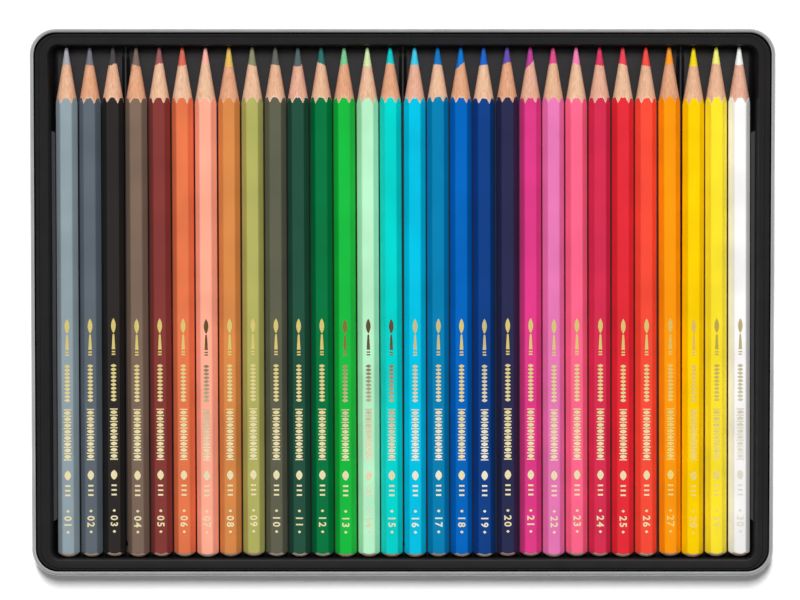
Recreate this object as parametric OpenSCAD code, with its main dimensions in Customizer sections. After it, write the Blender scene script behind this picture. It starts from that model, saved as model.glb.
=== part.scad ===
// Flat tin of colored pencils: a pressed tin base, a formed plastic insert and a row of
// hexagonal pencils. X runs along the row, Y along the pencils towards their points, Z up.
// The origin lies under the middle of the tin, on the surface that it stands on.

/* [Pencils] */
// Length of a pencil from its domed end to its point
pencil_len = 175; // [120:1:200]
// Width of a pencil across two opposite flats
pencil_flats = 6.7; // [6.2:0.1:7.2]
// How much is taken off each long corner, measured outwards from the axis
corner_round = 0.12; // [0.05:0.01:0.3]
// Free space between the corners of two neighbours in the row
pencil_gap = 0.48; // [0.3:0.02:1]
// Diameter of the colored core
core_d = 3.4; // [2:0.1:4]
// Space left for glue between the core and its bore, on the radius
glue_gap = 0.03; // [0.02:0.01:0.05]
// Angle between the sharpened cone and the axis
sharpen_angle = 9.6; // [7:0.1:14]
// Radius of the blunt point
point_r = 0.6; // [0.4:0.02:1]
// Radius of the dome turned on the blunt end
dome_r = 5.4; // [4.5:0.1:12]

/* [Insert tray] */
// Thickness of the formed sheet
sheet_t = 0.6; // [0.4:0.05:0.8]
// Depth of the recess, from the flange down to the floor
tray_depth = 8.5; // [8.2:0.1:12]
// Slope of the recess walls from upright, in degrees
wall_draft = 4; // [1:0.5:5]
// Radius of the round between the walls and the floor
floor_round = 1.4; // [0.8:0.1:1.8]
// Radius of the recess corners in plan
recess_corner_r = 3; // [2.8:0.1:4]
// Space from the outermost pencil to the long edge of the recess
side_room = 1.8; // [1.6:0.1:5]
// Space from the middle of the row's ends to the short edge of the recess
end_room = 0.6; // [0.6:0.05:3]
// Width of the flange round the recess
flange_w = 4.2; // [3.4:0.1:8]
// Width of the lowered strip along the outer edge of the flange
lip_w = 1.3; // [0.8:0.1:2]
// How far that strip lies below the flange
lip_drop = 0.4; // [0.2:0.05:0.6]
// Space between a locating rib and the pencils on both sides of it
rib_clear = 0.35; // [0.3:0.05:0.6]
// Radius along the crest of a rib
rib_crest_r = 0.35; // [0.2:0.05:0.5]
// Length of the ledge along each side wall
ledge_len = 133.5; // [60:0.5:160]
// How far the ledges lie towards the blunt ends, off the middle
ledge_shift = 8.1; // [0:0.1:15]
// How far the top of a ledge lies below the flange
ledge_drop = 4; // [2:0.1:6]
// Space between a ledge and the outermost pencil
ledge_clear = 0.33; // [0.3:0.01:0.6]

/* [Tin base] */
// Thickness of the tinplate
tin_t = 0.3; // [0.2:0.02:0.4]
// Diameter of the curled rim
rim_d = 1.2; // [1:0.05:2]
// Height of the rim above the insert's flange
rim_stand = 0.6; // [0.3:0.1:2]
// Outer radius of the tin's upright corners, over the curled rim
tin_corner_r = 8.4; // [7.6:0.1:14]
// Outer radius between the wall and the foot
foot_round = 1.8; // [1:0.1:2.4]
// Width of the flat foot that the tin stands on
foot_w = 2.2; // [1.2:0.1:2.6]
// How far the middle panel is pressed up above the foot
panel_raise = 0.8; // [0.4:0.1:1.2]

/* [Fits] */
// Space between the insert's flange and the inside of the tin wall
tray_fit = 0.3; // [0.2:0.05:0.6]
// Space between the insert's floor and the tin's middle panel
tray_seat_gap = 0.2; // [0.1:0.05:0.3]
// Space between a pencil's lowest flat and the insert's floor
pencil_seat_gap = 0.1; // [0.05:0.05:0.3]

/* [Hidden] */
$fn = 48;
// The row from left to right: name and lacquer color of each pencil
PENCILS = [
  ["light_grey", "#96A4A9"],
  ["slate_grey", "#626A72"],
  ["black", "#302E2D"],
  ["taupe", "#7E6A5B"],
  ["maroon", "#84433F"],
  ["rust", "#E47C54"],
  ["salmon", "#FFB096"],
  ["ochre", "#D68C50"],
  ["olive", "#B1AE68"],
  ["olive_grey", "#62624F"],
  ["pine_green", "#2A5142"],
  ["emerald", "#087543"],
  ["leaf_green", "#24BB48"],
  ["mint", "#B8EEC8"],
  ["turquoise", "#10D4CC"],
  ["sky_blue", "#0AC1E0"],
  ["cerulean", "#0683B1"],
  ["cobalt_blue", "#0668BE"],
  ["royal_blue", "#144483"],
  ["indigo", "#2B2E4C"],
  ["magenta", "#E04389"],
  ["orchid", "#E880B8"],
  ["pink", "#FF7192"],
  ["crimson", "#D73758"],
  ["red", "#E63642"],
  ["vermilion", "#F55140"],
  ["orange", "#FC9E14"],
  ["golden_yellow", "#FCD204"],
  ["lemon_yellow", "#F8E234"],
  ["white", "#F6F4F2"]
];
// A rib stands after each of these places in the row
RIB_AFTER = [3, 15, 27];

// A hexagon's flats lie 30 degrees from its corners
flat_angle = 30;
half_turn = 180;
// How far a cutter reaches past the face that it cuts
over = 1;
// How far a drafted wall laps into the round at its foot, as an angle
lap_angle = 10;
corner_r = pencil_flats / 2 / cos(flat_angle) - corner_round;
pencil_pitch = 2 * corner_r + pencil_gap;
row_half = pencil_pitch * (len(PENCILS) - 1) / 2 + corner_r;
core_r = core_d / 2;
bore_r = core_r + glue_gap;

// Heights, counted up from the surface that the tin stands on
panel_top = panel_raise + tin_t;
floor_top = panel_top + tray_seat_gap + sheet_t;
flange_top = floor_top + tray_depth;
rim_top = flange_top + rim_stand;
pencil_z = floor_top + pencil_seat_gap + pencil_flats / 2;

// Half sizes in plan: recess at the flange, then the inside of the tin wall
recess_x = row_half + side_room;
recess_y = pencil_len / 2 + end_room;
wall_x = recess_x + flange_w + tray_fit;
wall_y = recess_y + flange_w + tray_fit;

// Middle of each upright corner, and the reach of the profiles from there
tray_cx = recess_x - recess_corner_r;
tray_cy = recess_y - recess_corner_r;
tin_cx = wall_x + rim_d - tin_corner_r;
tin_cy = wall_y + rim_d - tin_corner_r;
tin_wall_u = tin_corner_r - rim_d;

// How far a drafted recess wall has moved in at height z
function draft_in(z) = (flange_top - z) * tan(wall_draft);
// The point at distance r from p in direction a
function at(p, a, r) = [p[0] + r * cos(a), p[1] + r * sin(a)];

// A pie slice round p from direction a to direction b, cut from a disc of radius r
module slice(p, a, b, r) {
  reach = 2 * r;
  mid = (a + b) / 2;
  intersection() {
    translate(p) circle(r);
    polygon([p, at(p, a, reach), at(p, mid, reach), at(p, b, reach)]);
  }
}

// A bent strip: the slice between radius r and r + t
module bend(p, a, b, r, t) {
  difference() {
    slice(p, a, b, r + t);
    translate(p) circle(r);
  }
}

// Carries a profile round a rectangle with round corners: cx and cy are the corner centers
module round_frame(cx, cy) {
  for (side = [0, 1]) mirror([side, 0, 0]) translate([cx, 0, 0])
    rotate([90, 0, 0]) linear_extrude(2 * cy, center = true) children();
  for (side = [0, 1]) mirror([0, side, 0]) translate([0, cy, 0])
    rotate([90, 0, 90]) linear_extrude(2 * cx, center = true) children();
  for (mx = [0, 1]) for (my = [0, 1]) mirror([mx, 0, 0]) mirror([0, my, 0])
    translate([cx, cy, 0]) rotate_extrude(angle = 90) children();
}

// Section through the tin: panel, step, foot, wall and the open curl of the rim
module tin_profile() {
  foot_out = tin_wall_u + tin_t - foot_round;
  foot_in = foot_out - foot_w;
  step_in = foot_in - panel_raise;
  rim_r = rim_d / 2;
  curl = [tin_wall_u + rim_r, rim_top - rim_r];
  translate([0, panel_raise]) square([step_in, tin_t]);
  polygon([[step_in, panel_raise], [foot_in, 0], [foot_in, tin_t], [step_in, panel_top]]);
  translate([foot_in, 0]) square([foot_w, tin_t]);
  bend([foot_out, foot_round], -90, 0, foot_round - tin_t, tin_t);
  translate([tin_wall_u, foot_round]) square([tin_t, curl[1] - foot_round]);
  bend(curl, 90, 180, rim_r - tin_t, tin_t);
  bend(curl, 0, 90, rim_r - tin_t, tin_t);
  bend(curl, -90, 0, rim_r - tin_t, tin_t);
}

module tin_base() color("silver") {
  round_frame(tin_cx, tin_cy) tin_profile();
  translate([-tin_cx, -tin_cy, panel_raise]) cube([2 * tin_cx, 2 * tin_cy, tin_t]);
}

// Section through the insert: floor, round, drafted wall, rolled edge, flange and lowered lip
module tray_profile() {
  out = -wall_draft;
  edge_z = flange_top - sheet_t;
  edge = [recess_corner_r - draft_in(edge_z) + sheet_t / cos(wall_draft), edge_z];
  round_z = floor_top + floor_round;
  heel = [recess_corner_r - draft_in(round_z) - floor_round / cos(wall_draft), round_z];
  flange_out = recess_corner_r + flange_w;
  lip_in = flange_out - lip_w;
  lip_top = flange_top - lip_drop;
  translate([0, floor_top - sheet_t]) square([heel[0], sheet_t]);
  bend(heel, -90, out, floor_round, sheet_t);
  // Wall, flange and lip are one outline, which laps into the round below and the roll above
  polygon([
    at(heel, out, floor_round), at(heel, out - lap_angle, floor_round + sheet_t / 2),
    at(heel, out, floor_round + sheet_t), edge,
    [lip_in - lip_drop, edge_z], [lip_in, lip_top - sheet_t],
    [flange_out, lip_top - sheet_t], [flange_out, lip_top],
    [lip_in, lip_top], [lip_in - lip_drop, flange_top],
    [edge[0], flange_top], at(edge, out, -sheet_t)
  ]);
  slice(edge, 90, half_turn + out, sheet_t);
}

// Both flanks of a rib lie along the lower flats of its neighbours, rib_clear away.
// rib_half gives half the width between the flanks at height z.
rib_slope = tan(flat_angle);
function rib_half(z) =
  pencil_pitch / 2 - (pencil_flats / 2 + rib_clear) / cos(flat_angle) + (pencil_z - z) * rib_slope;
rib_apex_z = pencil_z + rib_half(pencil_z) / rib_slope;
rib_crest_z = rib_apex_z - rib_crest_r / sin(flat_angle);
rib_end_y = tray_cy + recess_corner_r - draft_in(floor_top);

// The rib's body above the floor, with sloping ends
module rib_outside() {
  intersection() {
    rotate([90, 0, 0]) linear_extrude(2 * rib_end_y, center = true) {
      tangent_z = rib_crest_z + rib_crest_r * sin(flat_angle);
      polygon([
        [-rib_half(floor_top), floor_top], [rib_half(floor_top), floor_top],
        [rib_half(tangent_z), tangent_z], [-rib_half(tangent_z), tangent_z]
      ]);
      translate([0, rib_crest_z]) circle(rib_crest_r);
    }
    rotate([90, 0, 90]) linear_extrude(pencil_pitch, center = true) {
      rise = rib_apex_z - floor_top;
      polygon([
        [-rib_end_y, floor_top], [rib_end_y, floor_top],
        [rib_end_y - rise, rib_apex_z], [rise - rib_end_y, rib_apex_z]
      ]);
    }
  }
}

// The groove that the same sheet leaves below the rib
module rib_inside() {
  under = floor_top - sheet_t;
  flank_t = sheet_t / cos(flat_angle);
  below = under - over;
  apex = rib_apex_z - sheet_t / sin(flat_angle);
  end = rib_end_y - floor_round - 2 * sheet_t;
  rotate([90, 0, 0]) linear_extrude(2 * end, center = true)
    polygon([[flank_t - rib_half(below), below], [rib_half(below) - flank_t, below], [0, apex]]);
}

// Places a child at every rib
module at_ribs() {
  for (n = RIB_AFTER) translate([(n - len(PENCILS) / 2) * pencil_pitch, 0, 0]) children();
}

ledge_x = row_half + ledge_clear;
ledge_top = flange_top - ledge_drop;

// The ledge along one side wall, from the floor up
module ledge_outside() {
  mid = sheet_t / 2;
  knee = floor_top + floor_round;
  translate([0, -ledge_shift, 0]) rotate([90, 0, 0]) linear_extrude(ledge_len, center = true)
    polygon([
      [ledge_x, floor_top], [recess_x - draft_in(floor_top) - mid, floor_top],
      [recess_x - draft_in(knee) + mid, knee],
      [recess_x - draft_in(ledge_top) + mid, ledge_top], [ledge_x, ledge_top]
    ]);
}

// The hollow that the same sheet leaves behind the ledge
module ledge_inside() {
  reach = recess_x + flange_w - ledge_x;
  translate([ledge_x + sheet_t, -ledge_shift - ledge_len / 2 + sheet_t, 0])
    cube([reach, ledge_len - 2 * sheet_t, ledge_top - sheet_t]);
}

module insert_tray() color("#2C2B2D") difference() {
  union() {
    round_frame(tray_cx, tray_cy) tray_profile();
    translate([-tray_cx, -tray_cy, floor_top - sheet_t]) cube([2 * tray_cx, 2 * tray_cy, sheet_t]);
    at_ribs() rib_outside();
    for (side = [0, 1]) mirror([side, 0, 0]) ledge_outside();
  }
  at_ribs() rib_inside();
  for (side = [0, 1]) mirror([side, 0, 0]) ledge_inside();
}

// The turned outline of a sharpened pencil, standing on its domed end
module turned_blank() {
  point_z = pencil_len - point_r;
  cone_top_r = point_r * cos(sharpen_angle);
  cone_top_z = point_z + point_r * sin(sharpen_angle);
  cone_z = cone_top_z - (corner_r - cone_top_r) / tan(sharpen_angle);
  intersection() {
    union() {
      rotate_extrude() polygon([
        [0, 0], [corner_r, 0], [corner_r, cone_z], [cone_top_r, cone_top_z], [0, cone_top_z]
      ]);
      translate([0, 0, point_z]) sphere(point_r);
    }
    union() {
      translate([0, 0, dome_r]) sphere(dome_r);
      translate([0, 0, dome_r]) cylinder(r = dome_r, h = pencil_len - dome_r);
    }
  }
}

// Wooden casing: a rounded hexagon sharpened to a cone, with a bore for the core
module casing() {
  difference() {
    intersection() {
      cylinder(r = pencil_flats / 2 / cos(flat_angle), h = pencil_len, $fn = 6);
      turned_blank();
    }
    translate([0, 0, -over]) cylinder(r = bore_r, h = pencil_len + 2 * over);
  }
}

// Colored core, in line with the cone at the point and with the dome at the blunt end
module core() {
  intersection() {
    cylinder(r = core_r, h = pencil_len);
    turned_blank();
  }
}

module pencil(i) color(PENCILS[i][1])
  translate([(i - (len(PENCILS) - 1) / 2) * pencil_pitch, -pencil_len / 2, pencil_z])
    rotate([-90, 0, 0]) {
      casing();
      core();
    }

tin_base();
insert_tray();
for (i = [0 : len(PENCILS) - 1])
  pencil(i);
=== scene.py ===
"""A flat tin of colored pencils, laid out as a Blender add-on that is run as a script.

The frame gives every piece its place. The tin, its formed insert and the pencils are surfaces
worked out with numpy: profiles carried round a rounded rectangle, and rounded hexagons turned
to a cone and a dome.
"""

import math

import bmesh
import bpy
import numpy as np
from bpy.props import (
    CollectionProperty, EnumProperty, FloatProperty, FloatVectorProperty, IntProperty,
    PointerProperty, StringProperty,
)
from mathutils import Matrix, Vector


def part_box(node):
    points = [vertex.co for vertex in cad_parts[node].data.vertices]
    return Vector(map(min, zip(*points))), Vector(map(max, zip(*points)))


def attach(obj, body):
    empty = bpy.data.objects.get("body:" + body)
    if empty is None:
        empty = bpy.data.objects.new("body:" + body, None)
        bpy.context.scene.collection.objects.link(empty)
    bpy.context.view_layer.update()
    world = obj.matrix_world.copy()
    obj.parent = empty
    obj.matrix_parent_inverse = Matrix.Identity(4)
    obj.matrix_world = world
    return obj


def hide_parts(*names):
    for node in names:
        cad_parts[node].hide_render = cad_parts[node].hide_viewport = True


bl_info = {
    "name": "Colored pencil tin",
    "version": (1, 0, 0),
    "blender": (4, 5, 0),
    "location": "3D Viewport > Sidebar > Pencil Tin",
    "description": "Builds a flat tin of colored pencils round its packed frame",
    "category": "Object",
}

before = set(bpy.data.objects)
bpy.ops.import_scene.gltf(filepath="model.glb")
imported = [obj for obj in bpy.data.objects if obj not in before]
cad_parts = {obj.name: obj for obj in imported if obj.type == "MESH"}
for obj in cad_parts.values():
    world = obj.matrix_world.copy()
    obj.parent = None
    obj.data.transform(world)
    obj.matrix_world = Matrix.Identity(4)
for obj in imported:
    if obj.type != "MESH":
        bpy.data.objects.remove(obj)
MM = 0.001
FLAT_ANGLE = 30.0
CREASE_ANGLE = 38.0
WELD = 1e-7
WHITE = (1.0, 1.0, 1.0, 1.0)

TIN_LOW, TIN_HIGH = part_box("tin_base")
TRAY_LOW, TRAY_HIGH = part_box("insert_tray")
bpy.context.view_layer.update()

# The row from left to right: name, lacquer, core, foil and how far off its axis the core was bored
ROW = [
    ("light_grey", (140, 155, 162), (168, 166, 172), "gold", 0.06),
    ("slate_grey", (90, 99, 108), (112, 112, 120), "gold", 0.04),
    ("black", (34, 31, 30), (66, 64, 68), "gold", 0.05),
    ("taupe", (120, 100, 86), (118, 100, 90), "gold", 0.05),
    ("maroon", (128, 56, 52), (150, 86, 88), "gold", 0.08),
    ("rust", (226, 116, 74), (214, 104, 84), "gold", 0.05),
    ("salmon", (252, 170, 144), (250, 176, 160), "dark_glint", 0.06),
    ("ochre", (212, 134, 72), (226, 186, 92), "gold", 0.08),
    ("olive", (172, 170, 94), (136, 136, 104), "gold", 0.06),
    ("olive_grey", (90, 90, 74), (96, 96, 90), "gold", 0.04),
    ("pine_green", (32, 74, 58), (80, 96, 96), "gold", 0.12),
    ("emerald", (2, 112, 60), (36, 104, 100), "gold", 0.12),
    ("leaf_green", (22, 182, 62), (120, 196, 142), "dim_glint", 0.12),
    ("mint", (180, 236, 196), (206, 228, 170), "dark_glint", 0.05),
    ("turquoise", (0, 208, 200), (0, 198, 200), "dark_glint", 0.08),
    ("sky_blue", (0, 188, 222), (64, 196, 228), "pale", 0.03),
    ("cerulean", (2, 124, 172), (8, 112, 184), "pale", 0.06),
    ("cobalt_blue", (0, 98, 184), (0, 112, 200), "gold", 0.22),
    ("royal_blue", (14, 60, 128), (28, 96, 196), "pale", 0.06),
    ("indigo", (38, 40, 72), (100, 78, 168), "gold", 0.08),
    ("magenta", (220, 58, 132), (184, 62, 146), "gold", 0.26),
    ("orchid", (228, 118, 178), (218, 74, 134), "gold", 0.08),
    ("pink", (252, 102, 138), (240, 128, 176), "gold", 0.08),
    ("crimson", (212, 46, 80), (212, 56, 96), "gold", 0.08),
    ("red", (226, 44, 56), (230, 66, 82), "gold", 0.06),
    ("vermilion", (243, 74, 56), (240, 76, 66), "gold", 0.06),
    ("orange", (250, 150, 12), (250, 152, 44), "lemon", 0.04),
    ("golden_yellow", (252, 206, 0), (240, 214, 22), "lemon", 0.04),
    ("lemon_yellow", (248, 224, 44), (240, 236, 118), "grey", 0.06),
    ("white", (244, 243, 241), (246, 245, 242), "faint", 0.04),
]

# Each rib: the pencil that it follows, and how far it lies to the right of its place, in mm
RIBS = ((3, 0.85), (15, 0.1), (27, -0.45))
# Each group between ribs: its first pencil, and how far the first one's blunt end and point
# lie to the right of their places, in mm
GROUPS = ((1, 0.88, 0.78), (4, 0.99, 0.6), (16, 0.5, 0.09), (28, 0.2, -0.34))
# Pencils that lie off their group's even spacing: the same two numbers beside it, in mm
STRAYS = {
    8: (0.0, 0.1), 9: (0.0, 0.2), 10: (0.0, 0.22), 15: (-0.1, -0.04), 16: (-0.1, 0.0),
    19: (-0.1, -0.1), 22: (0.0, -0.1), 23: (0.0, -0.14), 27: (0.42, 0.1), 28: (-0.12, 0.06),
    29: (0.04, -0.1), 30: (0.1, -0.06),
}

# The wood that each pencil's cone was cut from, by its first letter
WOOD_ROW = "pwpwlllwlprpwlwrlwlwrplrlpwppr"

# The color of each foil at the ornament, and at the place number: a painted reflection, how the
# foil catches the light on each pencil
FOILS = {
    "gold": ((0.9, 0.82, 0.48), (0.98, 0.93, 0.74)),
    "pale": ((0.84, 0.78, 0.54), (0.99, 0.97, 0.88)),
    "dim_glint": ((0.56, 0.46, 0.24), (0.98, 0.94, 0.76)),
    "dark_glint": ((0.4, 0.3, 0.16), (0.98, 0.92, 0.76)),
    "grey": ((0.78, 0.68, 0.34), (0.99, 0.9, 0.5)),
    "lemon": ((0.92, 0.78, 0.4), (0.99, 0.88, 0.5)),
    "faint": ((0.78, 0.72, 0.52), (0.95, 0.92, 0.85)),
}
WOODS = {
    "plain": (0.873, 0.691, 0.559), "warm": (0.856, 0.634, 0.494),
    "light": (0.888, 0.724, 0.594), "rosy": (0.871, 0.67, 0.569),
}


# Settings

def length(name, description, size=0.0):
    """A length, given in millimetres."""
    return FloatProperty(name=name, description=description, default=size * MM, unit="LENGTH")


def lengths(name, description, *sizes, **more):
    """Several lengths under one name, given in millimetres."""
    return FloatVectorProperty(
        name=name, description=description, size=len(sizes), unit="LENGTH",
        default=[size * MM for size in sizes], **more)


def slope(name, description, degrees):
    """An angle, given in degrees."""
    return FloatProperty(
        name=name, description=description, default=math.radians(degrees), subtype="ANGLE")


def amount(name, description, default):
    """A plain number, such as a share or a strength."""
    return FloatProperty(name=name, description=description, default=default)


def tint(name, description, default=(0.5, 0.5, 0.5)):
    """A screen color."""
    return FloatVectorProperty(
        name=name, description=description, size=3, min=0, max=1, subtype="COLOR_GAMMA",
        default=default)


class TinSizes(bpy.types.PropertyGroup):
    """The pressed tin base."""

    plate: length("Plate", "Thickness of the tinplate", 0.3)
    rim: length("Rim", "Diameter of the curled rim", 1.45)
    corner: length("Corner", "Radius of the upright corners over the rim", 9.0)
    foot_round: length("Foot round", "Outer radius between the wall and the foot", 1.8)
    foot: length("Foot", "Width of the flat foot", 2.2)
    raise_: length("Panel raise", "How far the middle panel is pressed up", 0.8)
    short: lengths(
        "Short", "How far the rim lies inside the frame's box at the blunt ends and at the "
        "points", 0.5, 0.3)
    color: tint("Tinplate", "Color of the bare tinplate", (0.76, 0.765, 0.77))


class InsertSizes(bpy.types.PropertyGroup):
    """The formed plastic insert."""

    sheet: length("Sheet", "Thickness of the formed sheet", 0.6)
    draft: slope("Draft", "Slope of the recess walls from upright", 4)
    side_draft: slope("Side draft", "Slope of the two side walls from upright", 12)
    floor_round: length("Floor round", "Radius between the walls and the floor", 1.4)
    point_round: length("Point round", "The same radius at the wall before the points", 2.5)
    corner: length("Corner", "Radius of the recess corners in plan", 3.8)
    fit: length("Fit", "How far the flange's edge lies inside its widest fit", 0.25)
    flange: length("Flange", "Width of the flange", 3.95)
    lip: length("Lip", "Width of the lowered strip along the edge", 1.3)
    lip_wider: lengths(
        "Lip wider", "How much wider the strip is at the left, the right, the points and the "
        "blunt ends", 0.0, 0.5, -0.4, -0.8)
    lip_drop: length("Lip drop", "How far that strip lies lower", 0.4)
    ledge_length: length("Ledge length", "Length of the ledge along each side wall", 133.5)
    ledge_shift: length("Ledge shift", "How far the ledges lie towards the blunt ends", 8.1)
    ledge_drop: length("Ledge drop", "How far the ledges lie below the flange", 4.0)
    ledge_fade: length("Ledge fade", "How far the end of a ledge takes to fade out", 0.9)
    ledge_clear: length(
        "Ledge clearance", "Space between a ledge and the outer pencil", 0.12)
    ledge_lean: length(
        "Ledge lean", "How far in the wall over a ledge leans at its foot", 0.95)
    rib_clear: length("Rib clearance", "Space between a rib and its pencils", 0.7)
    rib_crest: length("Rib crest", "Radius along the crest of a rib", 0.5)
    set_in: lengths(
        "Set in", "How much further in the left and the right wall stand", 0.36, -0.2)
    wave: length("Wave", "How far the recess edge wanders, as forming leaves it", 0.1)
    # The floor's paler tone is painted into the insert's colour
    floor_paler: amount("Paler floor", "How much paler the floor is beside the ledges", 0.68)
    color: tint("Plastic", "Color of the insert", (0.063, 0.06, 0.063))


class PencilSizes(bpy.types.PropertyGroup):
    """What all the pencils share."""

    flats: length("Flats", "Width across two opposite flats", 6.7)
    corner_round: length("Corner round", "How much is taken off each long corner", 0.12)
    core: length("Core", "Diameter of the colored core", 3.0)
    sharpen: slope("Sharpening", "Angle between the cone and the axis", 9.6)
    point: length("Point", "Radius of the blunt point", 0.56)
    chip: length(
        "Chip", "How far the lacquer's thin edge has chipped back on each flat", 0.5)
    dome: length("Dome", "Radius of the dome on the blunt end", 4.7)
    lacquer: length("Lacquer", "Thickness of the lacquer", 0.06)
    roll: slope("Roll", "How far a pencil may lie turned in its place", 1.3)
    slide: length("Slide", "How far a pencil may lie off its place along its length", 0.22)
    pack: lengths(
        "Packing", "How much closer the pencils of a group lie than their places, at the blunt "
        "ends and at the points", 0.048, 0.072)
    foil: length("Foil", "Thickness of the stamped foil", 0.012)
    digit: length("Digit", "Height of the place number's digits", 3.4)
    seed: IntProperty(
        name="Seed", description="Starts the small differences between the pencils", default=7)


class PencilLook(bpy.types.PropertyGroup):
    """One pencil of the row."""

    node: StringProperty(name="Node", description="The pencil's name in the frame", default="")
    body: StringProperty(
        name="Body", description="The body that the pencil moves with", default="")
    lacquer: tint("Lacquer", "Color of the lacquer")
    core: tint("Core", "Color of the core")
    foil: EnumProperty(
        name="Foil", description="How the stamped foil catches the light", default="gold",
        items=[(kind, kind.title(), "") for kind in FOILS])
    off_axis: length("Off axis", "How far the core lies off the axis")
    wood: EnumProperty(
        name="Wood", description="The cedar that the pencil is made of", default="plain",
        items=[(kind, kind.title(), "") for kind in WOODS])


class StageSizes(bpy.types.PropertyGroup):
    """Camera, lamps and floor."""

    distance: length("Distance", "Camera height over the pencils", 1000.0)
    lens: amount("Lens", "Focal length in millimetres", 131.15)
    tilt: slope("Tilt", "How far the camera leans towards the points", 2.4)
    aim: lengths(
        "Aim", "The point in the middle of the image", -0.87, 0.94, 5.35, subtype="XYZ")
    sky: amount("Sky", "Strength of the sky overhead", 0.2)
    horizon: amount("Horizon", "Strength of the sky near the horizon", 0.14)
    key: amount("Key", "Power of the key lamp in watts", 47.5)
    key_place: lengths("Key place", "Where the key lamp hangs", -80, 840, 2030, subtype="XYZ")
    key_size: lengths("Key size", "Width and length of the key lamp", 200, 660)
    floor: tint("Floor", "Color of the floor", (0.93, 0.93, 0.93))
    lift: amount("Floor lift", "Light added to the floor where the camera sees it", 0.03)


class TinSettings(bpy.types.PropertyGroup):
    """Everything that a user would change."""

    tin: PointerProperty(type=TinSizes, name="Tin")
    insert: PointerProperty(type=InsertSizes, name="Insert")
    pencils: PointerProperty(type=PencilSizes, name="Pencils")
    row: CollectionProperty(type=PencilLook, name="Row")
    stage: PointerProperty(type=StageSizes, name="Stage")


def settings():
    """The scene's own settings."""
    return bpy.context.scene.pencil_tin


# Shapes

def rounded(corners, radii, steps):
    """Points along a polyline whose corners are rounded.

    At each inner corner the direction turns evenly from one leg to the next on an arc of the
    given radius, in the given number of steps. A corner that doesn't turn gives one place
    that many times, so that two paths with as many corners always match point for point.
    """
    corners = np.asarray(corners, float)
    legs = np.diff(corners, axis=0)
    heads = np.arctan2(legs[:, 1], legs[:, 0])
    points = [corners[:1]]
    for corner, a, b, radius in zip(corners[1:-1], heads[:-1], heads[1:], radii):
        turn = (b - a + np.pi) % (2 * np.pi) - np.pi
        start = corner - radius * abs(math.tan(turn / 2)) * np.array([math.cos(a), math.sin(a)])
        now = a + turn * np.linspace(0, 1, steps)
        swing = np.column_stack([np.sin(now) - math.sin(a), math.cos(a) - np.cos(now)])
        points.append(start + radius * np.sign(turn) * swing)
    points.append(corners[-1:])
    return np.concatenate(points)


def sheet_ring(corners, radii, thickness, steps):
    """Both sides of a bent sheet as one ring: out along the left side, back along the right.

    Each side is the polyline moved over by half the thickness, its corners mitred and then
    rounded; the radii are those of the middle line, so the outer side of a bend gets more.
    """
    corners = np.asarray(corners, float)
    legs = np.diff(corners, axis=0)
    legs /= np.linalg.norm(legs, axis=1)[:, None]
    normals = np.column_stack([-legs[:, 1], legs[:, 0]])
    bend = normals[:-1] + normals[1:]
    bend /= (1 + (normals[:-1] * normals[1:]).sum(1))[:, None]
    shifts = np.concatenate([normals[:1], bend, normals[-1:]])
    turns = legs[:-1, 0] * legs[1:, 1] - legs[:-1, 1] * legs[1:, 0]
    sides = []
    for side in (0.5, -0.5):
        moved = corners + side * thickness * shifts
        round_off = np.maximum(radii - side * thickness * np.sign(turns), 0.04 * MM)
        sides.append(rounded(moved, round_off, steps))
    return np.concatenate([sides[0], sides[1][::-1]])


def round_path(cx, cy, xs, ys, fan):
    """Base points and outward directions once round a rectangle, counterclockwise.

    A side keeps one direction and passes its stations, xs or ys, which end at the corners. At
    a corner the base point stays and the direction turns a quarter in fan steps.
    """
    turn = np.radians(np.linspace(0, 90, fan + 1)[1:-1])
    base, way = [], []
    sides = [
        (np.column_stack([np.full(len(ys), cx), ys]), 0),
        (np.column_stack([xs[::-1], np.full(len(xs), cy)]), 90),
        (np.column_stack([np.full(len(ys), -cx), ys[::-1]]), 180),
        (np.column_stack([xs, np.full(len(xs), -cy)]), 270),
    ]
    for points, heading in sides:
        angle = math.radians(heading)
        base += [points, np.repeat(points[-1:], len(turn), axis=0)]
        out = np.concatenate([np.full(len(points), angle), angle + turn])
        way.append(np.column_stack([np.cos(out), np.sin(out)]))
    return np.concatenate(base), np.concatenate(way)


def carried(base, way, reach, height):
    """Grid of points: each path point moved out by reach along its direction, at height."""
    flat = base[:, None, :] + way[:, None, :] * reach[..., None]
    return np.concatenate([flat, np.broadcast_to(height, reach.shape)[..., None]], axis=-1)


def grid_faces(rows, columns, wrap_rows=False, wrap_columns=False):
    """A grid's quads as one block of faces, closed on itself in either direction where asked."""
    r = np.arange(rows if wrap_rows else rows - 1)[:, None]
    c = np.arange(columns if wrap_columns else columns - 1)[None, :]
    corners = [((r + i) % rows) * columns + (c + j) % columns
               for i, j in ((0, 0), (0, 1), (1, 1), (1, 0))]
    return [np.stack(corners, -1).reshape(-1, 4)]


def spread(low, high, count, *more):
    """Sorted stations from low to high, with more places put in between."""
    places = np.concatenate([np.linspace(low, high, count), *[np.ravel(m) for m in more]])
    places = places[(places >= low) & (places <= high)]
    return np.unique(np.round(places, 9))


def ripple(s, seed, longest, count=5):
    """Smooth aimless wave along s between about -1 and 1: sines of falling length and weight."""
    rng = np.random.default_rng(seed)
    order = np.arange(1, count + 1)
    phase = rng.uniform(0, 2 * np.pi, count)
    waves = np.sin(2 * np.pi * np.multiply.outer(s, order) / longest + phase)
    return (waves / order).sum(-1) / (1 / order).sum()


def hexagon(theta, flats, corner):
    """Radius of a hexagon with round corners in direction theta, where 0 is a flat's middle.

    The flat's own line and the corner's circle are blended by a high power mean, which keeps
    both as they are and softens only where they meet.
    """
    sharp = 44.0
    step = math.radians(2 * FLAT_ANGLE)
    off = (theta + step / 2) % step - step / 2
    flat = flats / 2 / np.cos(off)
    return (flat ** -sharp + corner ** -sharp) ** (-1 / sharp)


# Meshes

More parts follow.
